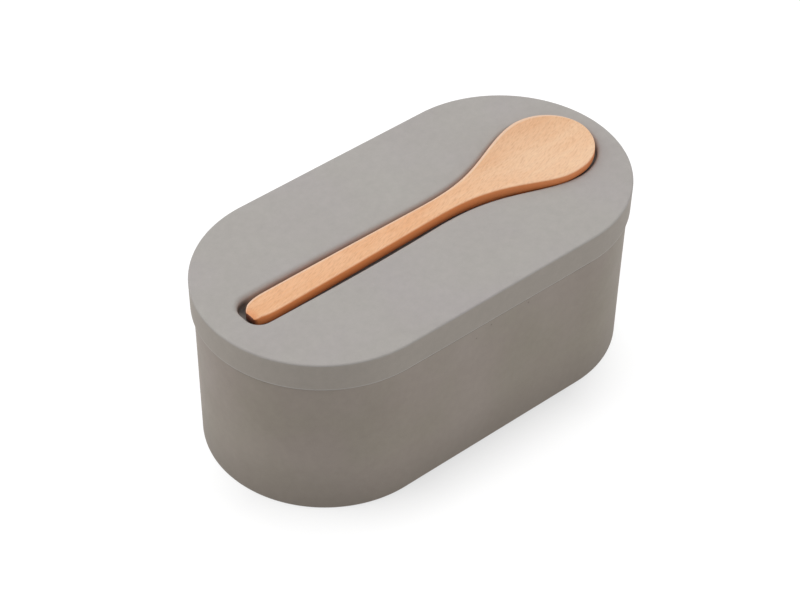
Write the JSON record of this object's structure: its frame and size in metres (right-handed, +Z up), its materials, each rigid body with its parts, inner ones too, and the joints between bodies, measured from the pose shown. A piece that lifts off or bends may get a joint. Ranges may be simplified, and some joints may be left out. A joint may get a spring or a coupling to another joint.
{
  "type": "salt cellar",
  "caption": "Long cast-cement salt box with round ends, a lift-off lid and a small wooden spoon lying in a recess in the lid.",
  "frame": {"origin": "on the table, under the middle of the closed box", "axes": "+X along the box toward the spoon's bowl, +Z up, -Y toward the long side seen in front"},
  "size_m": [0.1406, 0.0734, 0.0586],
  "materials": {
    "base_cement": "smooth cast cement, matte, with small pinholes",
    "lid_cement": "smooth cast cement, matte, honed top",
    "spoon_wood": "fine-grained light wood, oiled"
  },
  "bodies": {
    "base": {"base": "base_cement"},
    "lid": {"lid": "lid_cement"},
    "spoon": {"spoon": "spoon_wood"}
  },
  "joints": [
    {"name": "lid_lift", "type": "slide", "parent": "base", "child": "lid", "axis": [0, 0, 1], "range_m": [0, 0.08]},
    {"name": "spoon_lift", "type": "slide", "parent": "lid", "child": "spoon", "axis": [0, 0, 1], "range_m": [0, 0.04]}
  ]
}
